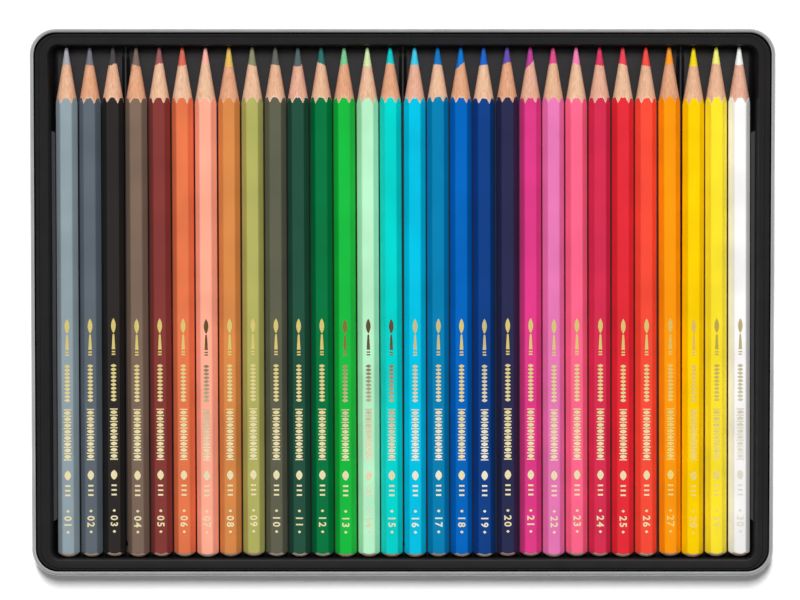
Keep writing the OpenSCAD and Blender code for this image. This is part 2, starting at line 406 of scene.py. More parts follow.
def new_piece(name, points, faces, body, slot, nodes, material, **marks):
    """Puts a surface into a mesh, welds its seams, turns its faces outwards and lets it ride.

    Faces come in blocks, each an array of faces with the same number of corners. Marks give a
    number for each point, which the mesh keeps as attributes by those names.
    """
    mesh = bpy.data.meshes.new(name)
    mesh.from_pydata(points.reshape(-1, 3).tolist(), [], sum([f.tolist() for f in faces], []))
    for mark, values in marks.items():
        mesh.attributes.new(mark, "FLOAT", "POINT").data.foreach_set("value", np.ravel(values))
    build = bmesh.new()
    build.from_mesh(mesh)
    bmesh.ops.remove_doubles(build, verts=build.verts, dist=WELD)
    bmesh.ops.dissolve_degenerate(build, edges=build.edges, dist=WELD)
    bmesh.ops.recalc_face_normals(build, faces=build.faces)
    build.to_mesh(mesh)
    build.free()
    mesh.polygons.foreach_set("use_smooth", np.ones(len(mesh.polygons), bool))
    mesh.set_sharp_from_angle(angle=math.radians(CREASE_ANGLE))
    mesh.materials.append(material)
    piece = bpy.data.objects.new(name, mesh)
    bpy.context.scene.collection.objects.link(piece)
    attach(piece, body)
    if nodes:
        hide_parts(*nodes)


def joined(*parts):
    """Several (points, faces) surfaces as one."""
    points = [np.reshape(p, (-1, 3)) for p, _ in parts]
    starts = np.cumsum([0] + [len(p) for p in points])
    return np.concatenate(points), [
        block + start for (_, faces), start in zip(parts, starts) for block in faces]


def prism(outline, low, high):
    """A flat outline with its walls: the outline twice, at low and high, and quads between."""
    ring, n = np.arange(len(outline)), len(outline)
    points = np.concatenate([
        np.column_stack([outline, np.full(n, level)]) for level in (low, high)])
    after = (ring + 1) % n
    walls = np.stack([ring, after, after + n, ring + n], -1)
    return points, [np.stack([ring[::-1], ring + n]), walls]


def spindle(middle, length, width, power=1.0, steps=9):
    """Outline pointed at both ends: the half width is a sine of the way along, to a power."""
    t = np.linspace(0, 1, steps)
    half = width / 2 * np.sin(np.pi * t) ** power
    y = middle + length * (t - 0.5)
    right, left = np.column_stack([half, y]), np.column_stack([-half, y])
    return np.concatenate([right, left[-2:0:-1]])


def bar(middle, length, low_width, high_width=None):
    """Outline of a bar along y whose width may change from its low end to its high end."""
    a, b = low_width / 2, (high_width or low_width) / 2
    low, high = middle - length / 2, middle + length / 2
    return np.array([(-a, low), (a, low), (b, high), (-b, high)])


# Tin and insert

def tin_surface(s):
    """The pressed tin: a bent middle line thickened both ways and carried round the rectangle.

    The line runs from the raised panel down a step to the foot, round the foot's outer edge,
    up the wall and through three quarters of the rim's circle.
    """
    half = s.plate / 2
    cx, cy = TIN_HIGH[0] - s.corner, TIN_HIGH[1] - s.corner - sum(s.short) / 2
    rim = s.rim / 2 - half
    wall = s.corner - s.rim + half
    foot_in = s.corner - s.rim + s.plate - s.foot_round - s.foot
    top = TIN_HIGH[2] - half
    panel = s.raise_ + half
    ring = sheet_ring(
        [(0, panel), (foot_in - s.raise_, panel), (foot_in, half), (wall, half), (wall, top),
         (wall + 2 * rim, top), (wall + 2 * rim, top - 2 * rim), (wall + rim, top - 2 * rim)],
        [s.plate, s.plate, s.foot_round - half, rim, rim, rim], s.plate, 9)
    xs = spread(-cx, cx, 21)
    ys = spread(-cy, cy, 17)
    base, way = round_path(cx, cy, xs, ys, 14)
    reach = np.broadcast_to(ring[:, 0], (len(base), len(ring)))
    wall_grid = carried(base, way, reach, ring[:, 1])
    sheet = (wall_grid, grid_faces(len(base), len(ring), wrap_rows=True))
    x, y = np.meshgrid(xs, ys, indexing="ij")
    floors = [(np.stack([x, y, np.full_like(x, z)], -1), grid_faces(len(xs), len(ys)))
              for z in (s.raise_, s.raise_ + s.plate)]
    points, faces = joined(sheet, *floors)
    points[:, 1] += (s.short[0] - s.short[1]) / 2
    return points, faces


def rib_places(pitch):
    """Where the ribs' crests lie along x."""
    after, aside = np.array(RIBS).T
    return (after - len(ROW) / 2) * pitch + aside * MM


def rib_height(s, p, x, y, cy, floor, axis_z, pitch):
    """Height of the floor's upper side: flat, with ribs whose flanks lie along the pencils.

    A flank falls with the flats' slope from an apex between two pencils; the crest is a circle
    tangent to both flanks; at the blunt ends a rib slopes down at 45 degrees to the floor.
    """
    slope = math.tan(math.radians(FLAT_ANGLE))
    waist = pitch / 2 - (p.flats / 2 + s.rib_clear) / math.cos(math.radians(FLAT_ANGLE))
    apex = axis_z + waist / slope
    off = np.abs(x[..., None] - rib_places(pitch)).min(-1)
    flank = apex - off / slope
    crest_z = apex - s.rib_crest / math.sin(math.radians(FLAT_ANGLE))
    crest = crest_z + np.sqrt(np.maximum(s.rib_crest ** 2 - off ** 2, 0))
    on_crest = off < s.rib_crest * math.cos(math.radians(FLAT_ANGLE))
    height = np.where(on_crest, crest, flank)
    return np.maximum(floor, np.minimum(height, floor + cy + y))


def insert_rings(s, edge, ledge, levels):
    """Profiles of the sheet at the side walls, the points, the blunt ends and the ledges.

    Each is a middle line from the floor through the round, the drafted wall and the rounded
    edge to the flange and its lowered lip, thickened both ways. Edge and ledge are the reach of
    the recess edge and of a ledge's foot; levels are those of floor, ledge and flange.
    """
    half = s.sheet / 2
    floor_z, ledge_z, flange_z = levels
    rim = s.corner + s.flange
    lip_z, lip_in = flange_z - s.lip_drop, rim - s.lip
    tail = [(edge, flange_z), (lip_in - s.lip_drop, flange_z), (lip_in, lip_z), (rim, lip_z)]
    soft, crisp = 0.2 * half, 0.1 * half
    radii = [soft, half, half, half, crisp, half, half]
    over_ledge = ledge_z + s.sheet + half / 2, flange_z - s.sheet
    on_wall = (floor_z, ledge_z, ledge_z + s.sheet, *over_ledge)

    def plain(draft, foot):
        wall = [(edge - (flange_z - z) * math.tan(draft), z) for z in on_wall]
        return sheet_ring([(0, floor_z)] + wall + tail, [foot + half, *radii], s.sheet, 7)

    lean = s.ledge_lean / (flange_z - ledge_z)
    step = [(0, floor_z), (ledge, floor_z), (ledge, ledge_z), (edge - s.ledge_lean, ledge_z)]
    wall = [(edge - (flange_z - z) * lean, z) for z in over_ledge]
    return (
        plain(s.side_draft, s.floor_round), plain(s.draft, s.point_round),
        plain(s.draft, s.floor_round),
        sheet_ring(step + wall + tail, [1.4 * s.sheet, *radii], s.sheet, 7))


def insert_surface(s, p, short):
    """The formed insert: the four profiles blended round the recess, and the floor with its ribs.

    The squares of the outward direction's parts weigh the profiles of sides and ends, so a
    corner runs smoothly from one to the other, and a ledge fades out at both ends. The recess
    edge wanders by a small ripple, the ledges follow the outer pencils, and the floor between
    is a grid of heights. The third array says how much paler each point is painted: most on
    the ledges and the ribs' crests, less on the floor and along the edge at the blunt ends; on
    the crests and along that edge this is a painted highlight.
    """
    half = s.sheet / 2
    rim = s.corner + s.flange
    cx, cy = TRAY_HIGH[0] - s.fit - rim, TRAY_HIGH[1] - s.fit - rim
    flange_z, floor_z = TRAY_HIGH[2] - half, TRAY_LOW[2] + half
    ledge_z = TRAY_HIGH[2] - s.ledge_drop - half
    floor, kink = floor_z + half, ledge_z + s.sheet
    left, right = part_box("pencil_" + ROW[0][0]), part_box("pencil_" + ROW[-1][0])
    pitch = (right[0][0] - left[0][0]) / (len(ROW) - 1)
    axis_z = (left[0][2] + left[1][2]) / 2
    edge = s.corner + half / math.cos(s.draft) - half * math.tan(s.draft)
    ledge = right[1][0] + s.ledge_clear + half - cx
    *plain_rings, stepped = insert_rings(s, edge, ledge, (floor_z, ledge_z, flange_z))

    # Stations, closer together at the ribs' crests, the ledges' ends and the recess's ends
    beside_crest = np.array(
        [0, 0.14, 0.28, 0.36, 0.43, 0.6, 0.8, 1.2, 1.5, 1.58, 1.65, 2.3]) * MM
    xs = spread(-cx, cx, 49, np.add.outer(
        rib_places(pitch), np.concatenate([-beside_crest, beside_crest])))
    ledge_ends = s.ledge_length / 2 * np.array([-1, 1]) - s.ledge_shift
    rib_rise = np.linspace(0, 3.2, 9) * MM
    ys = spread(-cy, cy, 41, np.add.outer(ledge_ends, np.linspace(-1, 1, 7) * s.ledge_fade),
                cy - rib_rise, rib_rise - cy)
    base, way = round_path(cx, cy, xs, ys, 12)

    # Profiles, weighed and blended
    on_side = (np.abs(way[:, 1]) < 1e-9) & (np.abs(base[:, 1]) < cy)
    inside = s.ledge_length / 2 - np.abs(base[:, 1] + s.ledge_shift)
    share = np.clip(inside / s.ledge_fade + 0.5, 0, 1)
    share = np.where(on_side, share * share * (3 - 2 * share), 0)[:, None]
    parts = (way[:, :1] ** 2, np.maximum(way[:, 1:], 0) ** 2, np.maximum(-way[:, 1:], 0) ** 2)
    plain_reach, plain_height = [
        sum(part * ring[:, k] for part, ring in zip(parts, plain_rings)) for k in (0, 1)]
    reach = (1 - share) * plain_reach + share * stepped[:, 0]
    height = (1 - share) * plain_height + share * stepped[:, 1]

    # The edge wanders, the side walls stand in or out, and the ledges follow their pencils
    path = base + way * s.corner
    run = np.cumsum(np.linalg.norm(np.diff(path, axis=0, prepend=path[:1]), axis=1))
    total = run[-1] + np.linalg.norm(path[0] - path[-1])
    upper = np.clip((plain_height - ledge_z + half) / s.sheet, 0, 1)
    edge_width = 1.3 * MM
    loose = np.exp(-((plain_reach - s.corner) / edge_width) ** 2) * upper
    is_left = way[:, :1] < 0
    wall_span = [0, 0.5 * MM, s.corner + 0.8 * MM, s.corner + 2.4 * MM]
    on_wall = np.interp(plain_reach, wall_span, [0, 1, 1, 0])
    on_ledge = share * np.interp(plain_height, [ledge_z + 1.2 * half, kink - 0.2 * half], [1, 0])
    reach = reach + s.wave * ripple(run, 3, total / 4, 6)[:, None] * loose - (
        np.where(is_left, *s.set_in) * parts[0] * on_wall * (1 - on_ledge))
    along = np.clip((base[:, 1:] - left[0][1]) / (left[1][1] - left[0][1]), 0, 1)
    follow = [tail + (tip - tail) * along
              for tail, tip in (pencil_offset(p, number) for number in (1, len(ROW)))]
    reach = reach + on_ledge * np.where(is_left, -follow[0], follow[1])

    # The lip is wider or narrower on each side, and the flange ends where the tin's rim does
    lip_from = rim - s.lip - 2 * s.lip_drop
    on_lip = (plain_reach > lip_from) & (plain_reach < rim - half)
    wider = parts[0] * np.where(is_left, *s.lip_wider[:2]) + (
        parts[1] * s.lip_wider[2] + parts[2] * s.lip_wider[3])
    outer = np.interp(plain_reach, np.array([0.8, 2.6]) * MM + s.corner, [0, 1])
    reach = reach - on_lip * wider - outer * (parts[1] * short[1] + parts[2] * short[0])
    sag = s.wave / 4 * (1 + ripple(run, 5, total / 3, 6))[:, None]
    height = height - sag * (plain_height > flange_z - 2 * s.sheet) * (plain_reach > s.corner)

    # Ribs run on into the wall before the points
    top_side = np.arange(reach.shape[1]) < reach.shape[1] // 2
    ribs = lambda x, y: rib_height(s, p, x, y, cy, floor, axis_z, pitch)
    rib = ribs(base[:, :1], 0 * base[:, :1])
    raised = np.maximum(height, rib - 2 * s.sheet * ~top_side)
    height = np.where((parts[1] > 0.999) & (rib > floor_z + s.sheet), raised, height)
    x, y = np.meshgrid(xs, ys, indexing="ij")
    top = ribs(x, y)
    under = np.maximum(floor - s.sheet, top - 2 * s.sheet)
    quads = grid_faces(len(xs), len(ys))
    points, faces = joined(
        (carried(base, way, reach, height), grid_faces(len(base), reach.shape[1], True)),
        (np.stack([x, y, top], -1), quads), (np.stack([x, y, under], -1), quads))

    # Colour marks: the ledges and the floor are painted paler, and a painted highlight runs along
    # the recess edge at the blunt ends and along the ribs' crests
    edge_highlight_width, crest_highlight_width = 0.25 * MM, 0.16 * MM
    on_step = share * (top_side & (stepped[:, 1] > ledge_z) & (stepped[:, 1] < kink))
    edge_highlight = parts[2] ** 2 * top_side * upper * np.exp(
        -((plain_reach - s.corner) / edge_highlight_width) ** 2)
    foot = s.floor_paler * (plain_height < floor + 0.02 * MM) * (1 - share)
    # Painted highlight along each rib's crest
    crest = np.clip((top - top.max()) / crest_highlight_width + 1, 0, 1)
    level = s.floor_paler * (top < floor + 0.05 * MM)
    return points, faces, np.concatenate([
        np.maximum.reduce([on_step, edge_highlight, foot]).ravel(),
        np.maximum(crest, level).ravel(), 0 * crest.ravel()])


# Pencils

def facet_angles():
    """Directions round a pencil, close together at each long corner."""
    off = np.array([
        -30, -28.4, -27.2, -26.2, -24.6, -21.5, -17, -12, -6, 0, 6, 12, 17, 21.5, 24.6, 26.2, 27.2,
        28.4])
    return np.radians(np.add.outer(np.arange(6) * 2 * FLAT_ANGLE, off).ravel())


def pencil_offset(p, number):
    """How far a pencil's blunt end and its point lie to the right of their places."""
    first, *ends = [group for group in GROUPS if group[0] <= number][-1]
    return np.add(ends, STRAYS.get(number, (0, 0))) * MM - np.array(p.pack) * (number - first)


# Cores bored further off the axis than this lie to one side, where it shows
FAR_OFF = 0.2 * MM


class Blank:
    """The shape that all parts of one pencil share, along y, with its seeded differences.

    The cone's radius grows back from the point with the tangent of the sharpening angle; the
    blunt end is a sphere; the core's hole lies off the axis by a small distance.
    """

    def __init__(self, p, look, number):
        low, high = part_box(look.node)
        rng = np.random.default_rng([p.seed, number])
        self.p, self.number, self.theta = p, number, facet_angles()
        self.roll = rng.uniform(-1, 1) * p.roll
        self.slide = rng.uniform(-1, 0.7) * p.slide
        self.aside = pencil_offset(p, number) + rng.uniform(-0.04, 0.04, 2) * MM
        self.point = p.point * rng.uniform(0.9, 1.1)
        self.middle = np.array([(low[0] + high[0]) / 2, self.slide, (low[2] + high[2]) / 2])
        self.tail, self.tip = low[1], high[1]
        self.corner = p.flats / 2 / math.cos(math.radians(FLAT_ANGLE)) - p.corner_round
        self.hexagon = hexagon(self.theta, p.flats, self.corner)
        lean = rng.uniform(0, 2 * np.pi) if look.off_axis < FAR_OFF else math.radians(
            rng.choice([-82, 82]))
        self.off = look.off_axis * np.array([math.sin(lean), math.cos(lean)])
        self.hole = self.ring(p.core / 2, 0, self.off)
        turn = self.theta - lean
        self.bore = look.off_axis * np.cos(turn) + np.sqrt(
            (p.core / 2) ** 2 - (look.off_axis * np.sin(turn)) ** 2)
        self.ragged, core_edge = [
            rng.uniform(-1, 1, len(self.theta)) * fine * MM + (
                0.35 * MM * ripple(self.theta, rng.integers(1000), 2 * np.pi, waves))
            for fine, waves in ((0.17, 13), (0.16, 9))]
        self.primer = rng.uniform(0, 1)
        self.cone_r = self.point * math.cos(p.sharpen)
        self.cone_y = self.tip - self.point + self.point * math.sin(p.sharpen)
        self.core_front = self.cone_at(self.bore) + core_edge

    def cone(self, y):
        """Radius of the cone at y."""
        return self.cone_r + (self.cone_y - y) * math.tan(self.p.sharpen)

    def cone_at(self, radius):
        """Where along y the cone has a radius."""
        return self.cone_y - (radius - self.cone_r) / math.tan(self.p.sharpen)

    def front(self, radius):
        """Where the cone has a radius, less what has chipped off the flats, and ragged."""
        edge = self.cone_at(radius)
        return np.minimum(edge, edge.max() - self.p.chip) + self.ragged

    def dome(self, radius):
        """Where along y the blunt end's sphere has a radius."""
        return self.tail + self.p.dome - np.sqrt(self.p.dome ** 2 - radius ** 2)

    def ring(self, radius, y, off=(0, 0)):
        """One row of points round the axis, or round a line beside it."""
        theta = self.theta
        return np.stack(np.broadcast_arrays(
            off[0] + radius * np.sin(theta), y + 0 * theta, off[1] + radius * np.cos(theta)), -1)

    def moved(self, row, y):
        """A row of points moved along y."""
        return row + np.stack([0 * self.theta, y, 0 * self.theta], -1)

    def placed(self, points):
        """Turned about the axis by the roll, moved to the pencil's place, and pushed aside.

        The push runs evenly from the blunt end's to the point's.
        """
        x, y, z = np.moveaxis(np.asarray(points), -1, 0)
        c, s = math.cos(self.roll), math.sin(self.roll)
        aside = np.interp(y, [self.tail, self.tip], self.aside)
        return np.stack([x * c + z * s + aside, y, z * c - x * s], -1) + self.middle

    def surface(self, rows, closed):
        """Rows of points as one surface, closed on itself or ended at two poles."""
        rows = np.array(rows)
        return self.placed(rows), grid_faces(*rows.shape[:2], closed, True)


def sleeve_surface(b):
    """The lacquer: a thin six-sided tube, cut by the dome at one end and by the cone at the other.

    The cut runs through the lacquer's thickness, so its inner edge reaches further forward.
    """
    outer, inner = b.hexagon, b.hexagon - b.p.lacquer
    back, front = b.dome(outer) + 0.05 * MM, b.front(outer)
    inner_back, inner_front = b.dome(inner), b.front(outer) + 0.12 * MM
    along = np.array([0.002, 0.03, 0.3, 0.7, 0.96, 0.99])
    rows = [b.ring(inner, inner_back), b.ring(outer - 0.02 * MM, back - 0.03 * MM)]
    rows += [b.ring(outer, back + (front - back) * t) for t in along]
    rows += [b.ring(outer, front), b.ring(inner, inner_front)]
    rows += [b.ring(inner, inner_front + (inner_back - inner_front) * t) for t in (0.03, 0.5)]
    return b.surface(rows, True)


def casing_surface(b):
    """The wood: dome, hidden barrel and cone outside, and the core's hole inside.

    The third array says how far each point is painted towards the primer's colour: real primer
    kept along the lacquer's front edge, and a painted light on the blunt end.
    """
    gap = 0.004 * MM
    barrel = b.hexagon - b.p.lacquer - gap
    hole_r = np.hypot(b.hole[:, 0], b.hole[:, 2])
    rows = []
    for t in np.linspace(0, 1, 8) ** 0.8:
        radius = hole_r + (barrel - hole_r) * t
        blend = b.hole * (1 - t) + b.ring(barrel, 0) * t
        blend[:, 1] = b.dome(np.hypot(blend[:, 0], blend[:, 2]) if t < 1 else radius)
        rows.append(blend)
    start = b.cone_at(barrel)
    rows += [b.ring(barrel, start - 2 * MM), b.ring(barrel, start)]
    for t in np.linspace(0, 1, 15)[1:]:
        y = start + (b.core_front - start) * t
        rows.append(b.ring(b.cone(y), y))
    rows += [b.moved(b.hole, y) for y in (
        b.core_front - 0.4 * MM, b.core_front - 3 * MM, b.dome(hole_r) + 0.8 * MM)]
    points, faces = b.surface(rows, True)
    y = np.array(rows)[..., 1]
    # The blunt end is painted pale, a painted light from the front
    cut_width, end_width, end_light_share = 0.7 * MM, 0.5 * MM, 0.55
    cut = np.clip(1 - (y - b.front(b.hexagon)) / cut_width, 0, 1) * b.primer
    end = np.clip(1 - (y - b.dome(b.hexagon)) / end_width, 0, 1) * end_light_share
    return points, faces, np.maximum(cut, end)


def core_surface(b):
    """The core: a rod that fills the hole, then the cone's end and the blunt round point."""
    gap, sunk = 0.006 * MM, 0.12 * MM
    edge = b.ring(b.p.core / 2 - gap, 0, b.off)
    edge_y = b.dome(np.hypot(edge[:, 0], edge[:, 2]))
    axis = np.array([b.off[0], 0, b.off[1]])
    rows = []
    for t in (0, 0.5, 0.9, 1):
        row = axis + (edge - axis) * t
        row[:, 1] = (edge_y if t > 0 else edge_y.mean()) + (sunk if t < 1 else 0)
        rows.append(row)
    rows += [b.moved(edge, y) for y in (
        edge_y + 2 * MM, b.core_front - 3 * MM, b.core_front - 0.4 * MM)]
    for t in np.linspace(0, 1, 11):
        y = b.core_front + (b.cone_y - b.core_front) * t
        rows.append(b.ring(b.cone(y) - gap * (1 - t), y))
    turn = np.linspace(b.p.sharpen, math.pi / 2, 6)[1:]
    center = b.tip - b.point
    rows += [b.ring(b.point * math.cos(a), center + b.point * math.sin(a)) for a in turn]
    return b.surface(rows, False)


def digit_surfaces(size, thickness):
    """The ten digits as thin plates around their own middle, from Blender's own plain font."""
    digits = []
    for n in range(10):
        curve = bpy.data.curves.new(f"digit_{n}", "FONT")
        curve.body = str(n)
        curve.size, curve.extrude, curve.resolution_u = size, thickness / 2, 3
        curve.offset = 0.024 * size
        curve.align_x, curve.align_y = "CENTER", "CENTER"
        text = bpy.data.objects.new(curve.name, curve)
        bpy.context.scene.collection.objects.link(text)
        mesh = text.evaluated_get(bpy.context.evaluated_depsgraph_get()).to_mesh()
        points = np.empty(len(mesh.vertices) * 3)
        mesh.vertices.foreach_get("co", points)
        points = points.reshape(-1, 3)
        faces = [np.array([f.vertices[:]]) for f in mesh.polygons]
        bpy.data.objects.remove(text)
        bpy.data.curves.remove(curve)
        points[:, :2] -= (points[:, :2].min(0) + points[:, :2].max(0)) / 2
        digits.append((points, faces))
    return digits


def foil_surface(b, digits):
    """The stamped foil on the upper flat: thin plates of plain ornament and the place number.

    The number's digits run along the pencil with their tops to the right.
    """
    low, high = b.p.flats / 2 - 0.004 * MM, b.p.flats / 2 + b.p.foil
    braid = [(y, 1.2, 2.0, 1.0, 5) for y in np.arange(-21.5, -34.5, -1.3)]
    beads = [(y, 1.45, 2.4, 0.9, 5) for y in np.arange(-37.48, -53.0, -2.15)]
    rungs = [(y, 0.4, 2.6) for y in np.arange(-36.4, -54.0, -2.15)]
    marks = [(spindle, (-7.8, 5.2, 1.6, 0.8)), (bar, (-13.3, 5.2, 1.2, 0.6)),
             (bar, (-16.7, 0.5, 1.2)), (bar, (-17.6, 0.5, 1.2))]
    marks += [(spindle, size) for size in braid] + [(bar, size) for size in rungs]
    marks += [(spindle, size) for size in beads] + [(spindle, (-59.0, 3.4, 2.2, 0.7, 9))]
    marks += [(bar, (y, 0.6, 1.8)) for y in (-62.6, -64.2, -65.8)]
    dots = [(spindle, (y, 1.0, 1.1, 1.0, 5)) for y in (-71.3, -78.5)]
    first, advance = 73.8 * MM, 2.2 * MM

    def plates(outlines):
        return [prism(make(*size) * MM, low, high) for make, size in outlines]

    def digit(place, n):
        points, faces = digits[n]
        return np.column_stack([
            points[:, 1], -first - advance * place - points[:, 0],
            points[:, 2] + (low + high) / 2]), faces

    places = [digit(place, int(n)) for place, n in enumerate(f"{b.number:02d}")]
    points, faces = joined(*plates(marks), *places, *plates(dots))
    return b.placed(points), faces


# Finishes

def add(tree, kind, values=None, **settings):
    """Adds a node; values go to its inputs by name, as constants or as links from sockets."""
    node = tree.nodes.new(kind)
    for key, value in settings.items():
        setattr(node, key, value)
    for key, value in (values or {}).items():
        socket = node.inputs[key]
        if isinstance(value, bpy.types.NodeSocket):
            tree.links.new(value, socket)
        else:
            socket.default_value = value
    return node


def math_node(tree, operation, a, b):
    """One sum, product or maximum as a socket."""
    return add(tree, "ShaderNodeMath", {0: a, 1: b}, operation=operation).outputs[0]


def ranged(tree, value, low, high, to_low, to_high):
    """A value moved from one range into another, as a socket."""
    return add(tree, "ShaderNodeMapRange", {
        "Value": value, "From Min": low, "From Max": high, "To Min": to_low, "To Max": to_high,
    }).outputs["Result"]


def mixed(tree, share, a, b):
    """Two colors mixed by a share, as a socket."""
    node = add(tree, "ShaderNodeMix", data_type="RGBA")
    for index, value in ((0, share), (6, a), (7, b)):
        if isinstance(value, bpy.types.NodeSocket):
            tree.links.new(value, node.inputs[index])
        else:
            node.inputs[index].default_value = value
    return node.outputs[2]


def group(name, inputs, outputs):
    """An empty node group with named sockets: its tree, its input node and its output node."""
    tree = bpy.data.node_groups.new(name, "ShaderNodeTree")
    for socket, default in inputs.items():
        kind = "NodeSocketVector" if default is None else "NodeSocketFloat"
        made = tree.interface.new_socket(socket, in_out="INPUT", socket_type=kind)
        if default is not None:
            made.default_value = default
    for socket in outputs:
        tree.interface.new_socket(socket, in_out="OUTPUT", socket_type="NodeSocketFloat")
    return tree, tree.nodes.new("NodeGroupInput"), tree.nodes.new("NodeGroupOutput")


def stretched_noise(tree, vector, scale, detail=3.0, rough=0.5):
    """Noise whose grain is scale cells a metre along each axis, as a socket."""
    moved = add(tree, "ShaderNodeVectorMath", {0: vector, 1: scale}, operation="MULTIPLY")
    return add(tree, "ShaderNodeTexNoise", {
        "Vector": moved.outputs[0], "Scale": 1.0, "Detail": detail, "Roughness": rough,
    }).outputs["Fac"]


def grain_group():
    """Wood grain along y: fine fibres, broader bands and a few dark pores."""
    tree, inp, out = group("Wood grain", {"Vector": None}, ["Fibre", "Band", "Pore"])
    fibre = stretched_noise(tree, inp.outputs["Vector"], (2300, 150, 2300), 4, 0.7)
    band = stretched_noise(tree, inp.outputs["Vector"], (800, 50, 800), 2)
    pore = stretched_noise(tree, inp.outputs["Vector"], (2600, 420, 2600), 2, 0.6)
    tree.links.new(fibre, out.inputs["Fibre"])
    tree.links.new(band, out.inputs["Band"])
    tree.links.new(ranged(tree, pore, 0.66, 0.74, 0, 1), out.inputs["Pore"])
    return tree


def handling_group():
    """Marks of use: soft smears, and fine scratches that run mostly lengthwise."""
    tree, inp, out = group("Handling", {"Vector": None}, ["Smear", "Scratch"])
    smear = stretched_noise(tree, inp.outputs["Vector"], (150, 60, 150), 3)
    fine = stretched_noise(tree, inp.outputs["Vector"], (2600, 90, 2600), 2, 0.7)
    tree.links.new(ranged(tree, smear, 0.35, 0.7, 0, 1), out.inputs["Smear"])
    tree.links.new(ranged(tree, fine, 0.68, 0.76, 0, 1), out.inputs["Scratch"])
    return tree


def texture_group():
    """Fine even roughness of a moulded, rolled or sprayed surface, with a slower swell."""
    tree, inp, out = group("Surface texture", {"Vector": None, "Cells": 1500.0}, ["Fine", "Swell"])
    fine = add(tree, "ShaderNodeTexNoise", {
        "Vector": inp.outputs["Vector"], "Scale": inp.outputs["Cells"], "Detail": 2.0})
    slow = math_node(tree, "MULTIPLY", inp.outputs["Cells"], 0.08)
    swell = add(tree, "ShaderNodeTexNoise", {
        "Vector": inp.outputs["Vector"], "Scale": slow, "Detail": 1.0})
    tree.links.new(fine.outputs["Fac"], out.inputs["Fine"])
    tree.links.new(swell.outputs["Fac"], out.inputs["Swell"])
    return tree


def shared(name, make):
    """A node group made on first use."""
    return bpy.data.node_groups.get(name) or make()


def linear(color):
    """A screen color as a linear one with alpha."""
    c = np.asarray(color, float)[:3]
    return (*np.where(c <= 0.04045, c / 12.92, ((c + 0.055) / 1.055) ** 2.4).tolist(), 1.0)


def shaded(color, factor):
    """A linear color made lighter or darker by a factor."""
    return (*[min(c * factor, 1.0) for c in color[:3]], 1.0)


class Finish:
    """A material under way: its tree, its shader, its place coordinates and its groups."""

    def __init__(self, name, **constants):
        self.material = bpy.data.materials.new(name)
        self.material.use_nodes = True
        self.tree = self.material.node_tree
        self.shader = self.tree.nodes["Principled BSDF"]
        self.place = add(self.tree, "ShaderNodeTexCoord").outputs["Object"]
        for key, value in constants.items():
            self.shader.inputs[key.replace("_", " ")].default_value = value

    def effect(self, name, make, **values):
        """A shared effect placed in this material."""
        node = add(self.tree, "ShaderNodeGroup", node_tree=shared(name, make))
        self.tree.links.new(self.place, node.inputs["Vector"])
        for key, value in values.items():
            node.inputs[key].default_value = value
        return node.outputs

    def attribute(self, name):
        """A number that the piece keeps at each point, as a socket."""
        return add(self.tree, "ShaderNodeAttribute", attribute_name=name).outputs["Fac"]

    def blend(self, value, span, a, b):
        """Two colors mixed by a value moved from one range into another."""
        return mixed(self.tree, ranged(self.tree, value, *span), a, b)

    def feed(self, key, socket, *span):
        """Links a socket to the shader, moved from one range into another if one is given."""
        if span:
            socket = ranged(self.tree, socket, *span)
        self.tree.links.new(socket, self.shader.inputs[key])

    def bump(self, height, strength, distance):
        """Feeds a height to the shader's normal."""
        node = add(self.tree, "ShaderNodeBump", {
            "Height": height, "Strength": strength, "Distance": distance})
        self.feed("Normal", node.outputs["Normal"])


def tinplate(color):
    """Bright rolled tinplate: fine lengthwise rolling, faint smears and a few scratches."""
    f = Finish("rolled_tinplate", Metallic=1.0)
    tone = linear(color)
    marks = f.effect("Handling", handling_group)
    skin = f.effect("Surface texture", texture_group, Cells=2200.0)
    dull = f.blend(marks["Smear"], (0, 1, 0, 0.5), tone, shaded(tone, 0.8))
    f.feed("Base Color", mixed(f.tree, marks["Scratch"], dull, shaded(tone, 0.7)))
    f.feed("Roughness", marks["Smear"], 0, 1, 0.2, 0.34)
    f.bump(skin["Fine"], 0.1, 0.004 * MM)
    return f.material


def black_plastic(color):
    """Semi-matt formed plastic: fine grain, a slow swell, and places painted paler, some of them
    painted highlights.
    """
    f = Finish("grained_plastic", Specular_IOR_Level=0.3)
    tone = linear(color)
    skin = f.effect("Surface texture", texture_group, Cells=2600.0)
    marks = f.effect("Handling", handling_group)
    base = f.blend(marks["Smear"], (0, 1, 0, 0.55), tone, shaded(tone, 1.7))
    # Lit copy of the plastic where the mark says: paler ledges and floor, and painted highlights
    # on the ribs' crests and the blunt ends' edge
    base = mixed(f.tree, f.attribute("Worn"), base, shaded(tone, 7.0))
    f.feed("Base Color", f.blend(marks["Scratch"], (0, 1, 0, 0.5), base, shaded(tone, 3.2)))
    f.feed("Roughness", skin["Swell"], 0.3, 0.7, 0.4, 0.55)
    f.bump(skin["Fine"], 0.35, 0.03 * MM)
    return f.material


def lacquer(name, color):
    """Glossy lacquer: slight orange peel, depth of color that varies a little, fine scratches."""
    tone = linear(color)
    most = max(tone[:3])
    f = Finish(f"glossy_{name}", Specular_IOR_Level=0.25,
               Specular_Tint=(*[0.35 + 0.65 * c / most for c in tone[:3]], 1.0))
    skin = f.effect("Surface texture", texture_group, Cells=900.0)
    marks = f.effect("Handling", handling_group)
    depth = f.blend(skin["Swell"], (0.3, 0.7, 0, 1), shaded(tone, 0.92), shaded(tone, 1.05))
    f.feed("Base Color", f.blend(marks["Scratch"], (0, 1, 0, 0.18), depth, shaded(tone, 1.5)))
    f.feed("Roughness", marks["Smear"], 0, 1, 0.16, 0.26)
    f.bump(skin["Fine"], 0.12, 0.03 * MM)
    return f.material


